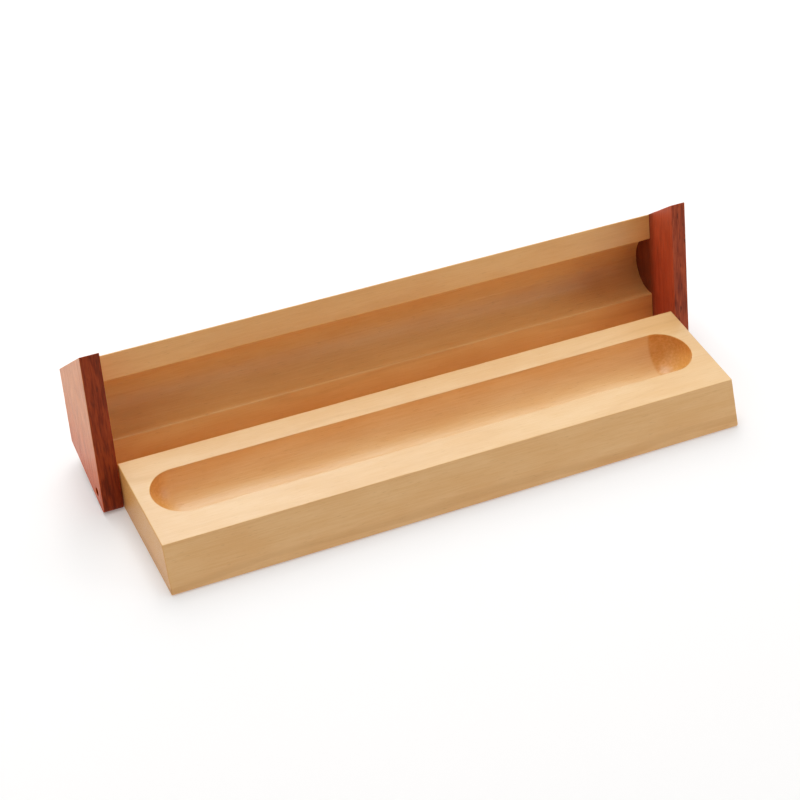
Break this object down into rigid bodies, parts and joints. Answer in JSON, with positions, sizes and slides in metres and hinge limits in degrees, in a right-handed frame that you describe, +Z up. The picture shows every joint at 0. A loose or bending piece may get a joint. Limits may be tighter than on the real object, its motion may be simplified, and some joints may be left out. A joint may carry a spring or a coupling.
{
  "type": "pen box",
  "caption": "Flip-top wooden box for one dip pen: a slant-sided tray with a round-bottomed trough, and a coved lid that swings open between two end cheeks.",
  "frame": {"origin": "middle of the tray's flat underside, which stands on the table", "axes": "+X along the box to its right-hand end, +Y from the open front to the hinge side, +Z up"},
  "size_m": [0.172, 0.0644, 0.0422],
  "materials": {
    "maple": "satin clear lacquer over fine straight grain",
    "rosewood": "satin lacquer over dark open-pored grain",
    "pin_steel": "plain drawn pin",
    "beech": "bare dowel"
  },
  "bodies": {
    "tray_body": {"tray": "maple"},
    "lid_body": {"lid": "maple", "left_cheek": "rosewood", "right_cheek": "rosewood", "left_hinge_pin": "pin_steel", "right_hinge_pin": "pin_steel", "left_front_dowel": "beech", "left_rear_dowel": "beech", "right_front_dowel": "beech", "right_rear_dowel": "beech"}
  },
  "joints": [
    {"name": "lid_hinge", "type": "hinge", "parent": "tray_body", "child": "lid_body", "pos_m": [0, 0.01675, 0.004], "axis": [1, 0, 0], "range_deg": [0, 106]}
  ]
}
